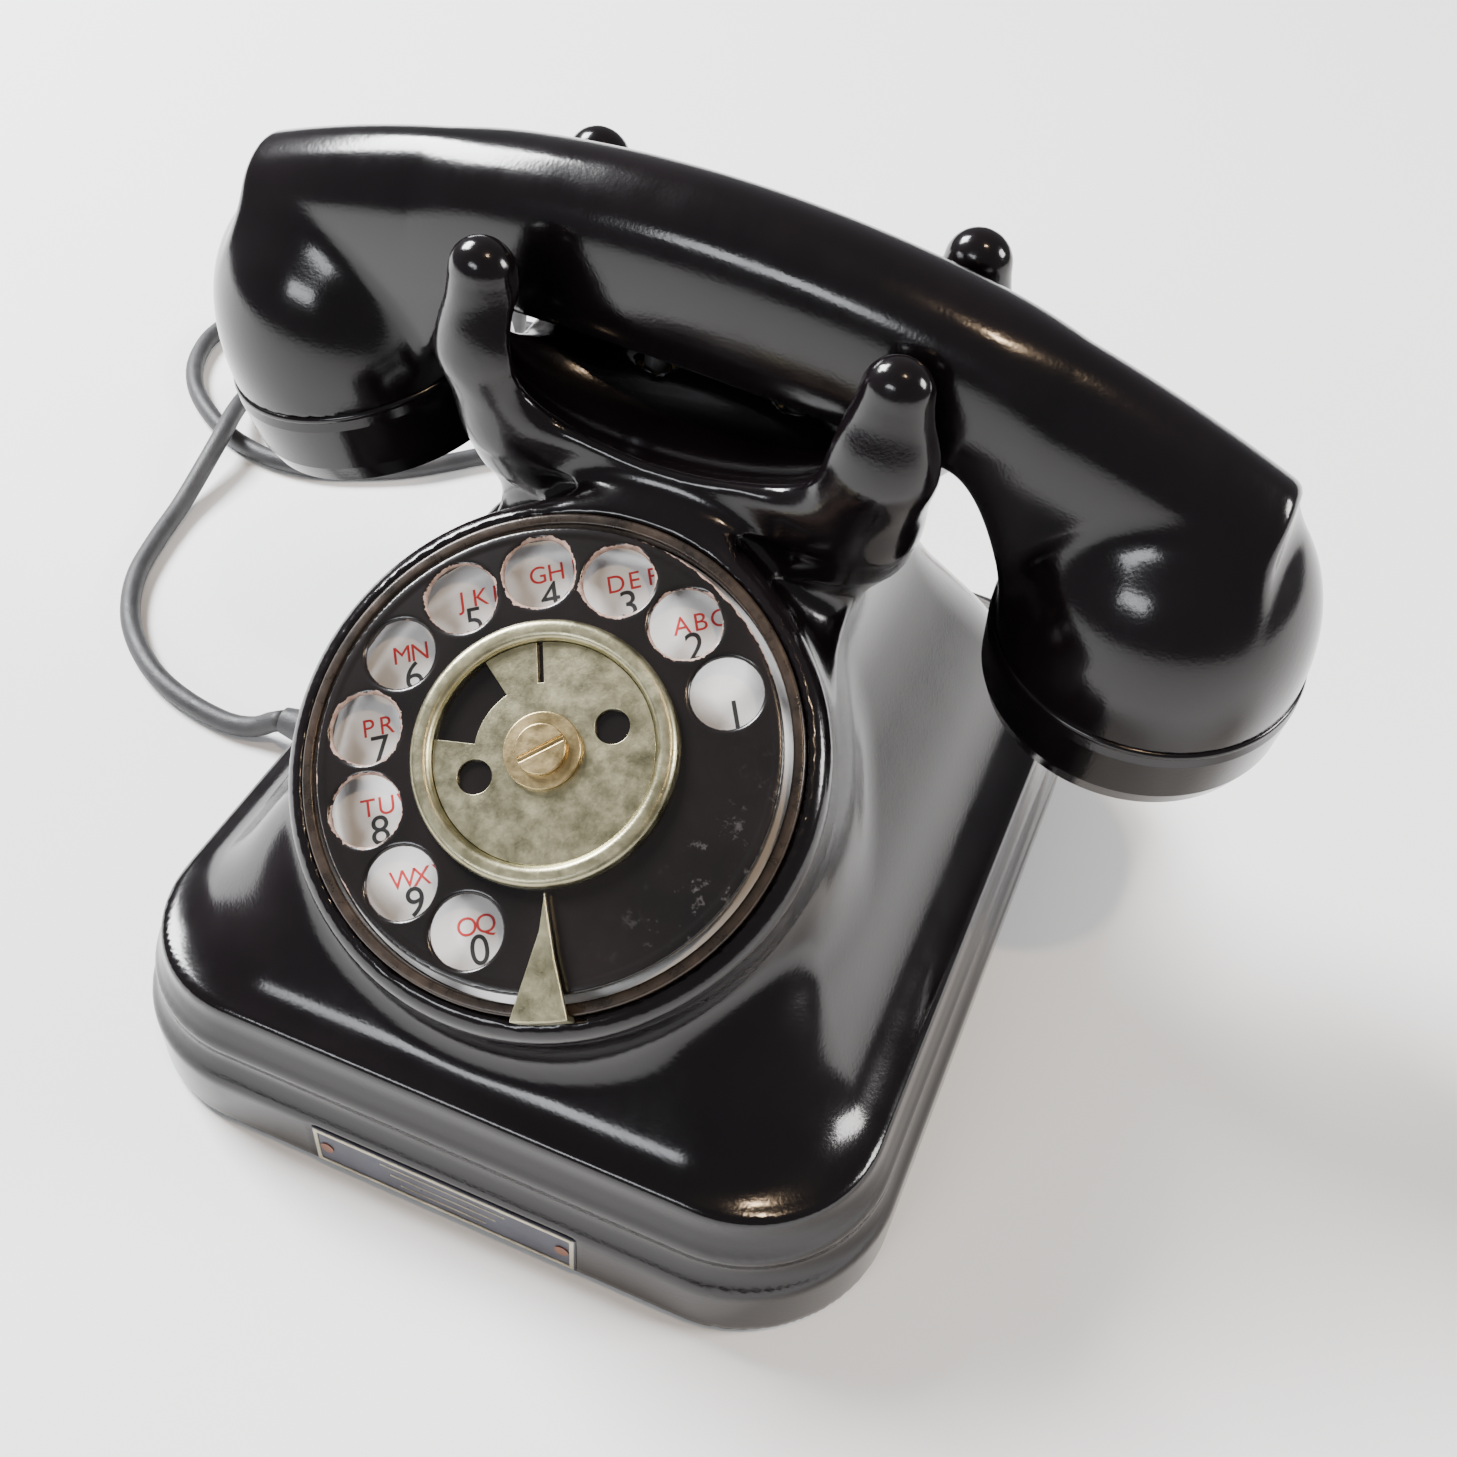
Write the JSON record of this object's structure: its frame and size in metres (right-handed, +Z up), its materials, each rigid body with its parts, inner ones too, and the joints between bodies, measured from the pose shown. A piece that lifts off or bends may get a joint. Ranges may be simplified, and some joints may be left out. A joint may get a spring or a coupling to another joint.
{
  "type": "rotary telephone",
  "caption": "Black moulded desk telephone with a rotary dial, a pronged cradle, a lift-off handset, a bell inside and rubber cords.",
  "frame": {"origin": "middle of the footprint, on the table", "axes": "+X to the user's right along the handset, +Y to the back, +Z up"},
  "size_m": [0.3239, 0.2874, 0.1536],
  "materials": {
    "bakelite": "polished, slightly worn",
    "lacquer": "glossy black lacquer, chipped",
    "case_metal": "worn brown lacquer",
    "enamel": "white enamel",
    "nickel": "dull nickel silver",
    "brass": "satin",
    "steel": "satin",
    "gong_metal": "nickelled",
    "rubber": "satin",
    "plate_paint": "blue-black field",
    "copper": "tarnished",
    "insulator": "matt",
    "winding": "varnished",
    "can": "dull",
    "capsule": "dull",
    "plug_body": "satin"
  },
  "bodies": {
    "base": {"body_shell": "bakelite", "base_plate": "steel", "rubber_feet": "rubber", "base_screws": "steel", "nameplate": "plate_paint", "nameplate_pins": "copper", "dial_case": "case_metal", "number_plate": "enamel", "finger_stop": "nickel", "dial_pillars": "brass", "dial_frame": "brass", "dial_screws": "brass", "main_spring": "steel", "pulse_contacts": "insulator", "governor_cup": "brass", "plunger_guides": "brass", "hook_bracket": "steel", "hook_pin": "steel", "hook_contacts": "insulator", "ringer_frame": "steel", "ringer_coils": "winding", "gong_left": "gong_metal", "gong_right": "gong_metal", "gong_posts": "steel", "gong_screws": "brass", "induction_coil": "winding", "capacitor": "can", "terminal_block": "insulator", "terminal_screws": "brass", "handset_gland": "rubber", "line_gland": "rubber", "handset_cord": "rubber", "line_cord": "rubber", "line_coil": "rubber", "line_tail": "rubber", "line_plug": "plug_body", "plug_pins": "brass"},
    "dial_rotor": {"finger_wheel": "lacquer", "card_ring": "nickel", "card_plate": "nickel", "hub_washer": "brass", "centre_screw": "brass", "main_shaft": "steel", "main_gear": "brass"},
    "idler": {"idler_arbor": "brass", "idler_gear": "brass", "pulse_cam": "insulator"},
    "governor": {"governor_arbor": "steel", "governor_weights": "brass"},
    "plungers": {"hook_plungers": "steel"},
    "hook_arm": {"hook_lever": "steel"},
    "clapper": {"clapper_arm": "steel", "clapper_ball": "brass"},
    "handset": {"handset_handle": "bakelite", "ear_cap": "bakelite", "mouth_cap": "bakelite", "receiver_unit": "capsule", "transmitter_unit": "capsule", "handset_grommet": "rubber"}
  },
  "joints": [
    {"name": "dial_turn", "type": "hinge", "parent": "base", "child": "dial_rotor", "pos_m": [0, -0.048, 0.0869], "axis": [0, -0.5252, 0.851], "range_deg": [-332, 0], "stiffness_Nm_per_rad": 0.006, "springref_deg": 57.3},
    {"name": "idler_spin", "type": "hinge", "parent": "base", "child": "idler", "pos_m": [-0.02091, -0.03772, 0.09324], "axis": [0, -0.5252, 0.851], "range_deg": [0, 1330]},
    {"name": "governor_spin", "type": "hinge", "parent": "base", "child": "governor", "pos_m": [-0.03404, -0.04417, 0.08926], "axis": [0, -0.5252, 0.851], "range_deg": [-5320, 0]},
    {"name": "handset_lift", "type": "slide", "parent": "base", "child": "handset", "axis": [0, 0, 1], "range_m": [0, 0.15]},
    {"name": "plunger_rise", "type": "slide", "parent": "base", "child": "plungers", "axis": [0, 0, 1], "range_m": [0, 0.0055]},
    {"name": "hook_swing", "type": "hinge", "parent": "base", "child": "hook_arm", "pos_m": [0, 0.04, 0.088], "axis": [1, 0, 0], "range_deg": [-19, 0]},
    {"name": "clapper_swing", "type": "hinge", "parent": "base", "child": "clapper", "pos_m": [0, 0.029, 0.015], "axis": [0, 0, 1], "range_deg": [-2.5, 2.5], "stiffness_Nm_per_rad": 0.003}
  ],
  "couplings": [
    {"joint": "idler_spin", "follows": "dial_turn", "ratio": -4},
    {"joint": "governor_spin", "follows": "dial_turn", "ratio": 16},
    {"joint": "plunger_rise", "follows": "handset_lift", "ratio": 0.033333},
    {"joint": "hook_swing", "follows": "handset_lift", "rad_per_m": -2.09}
  ]
}
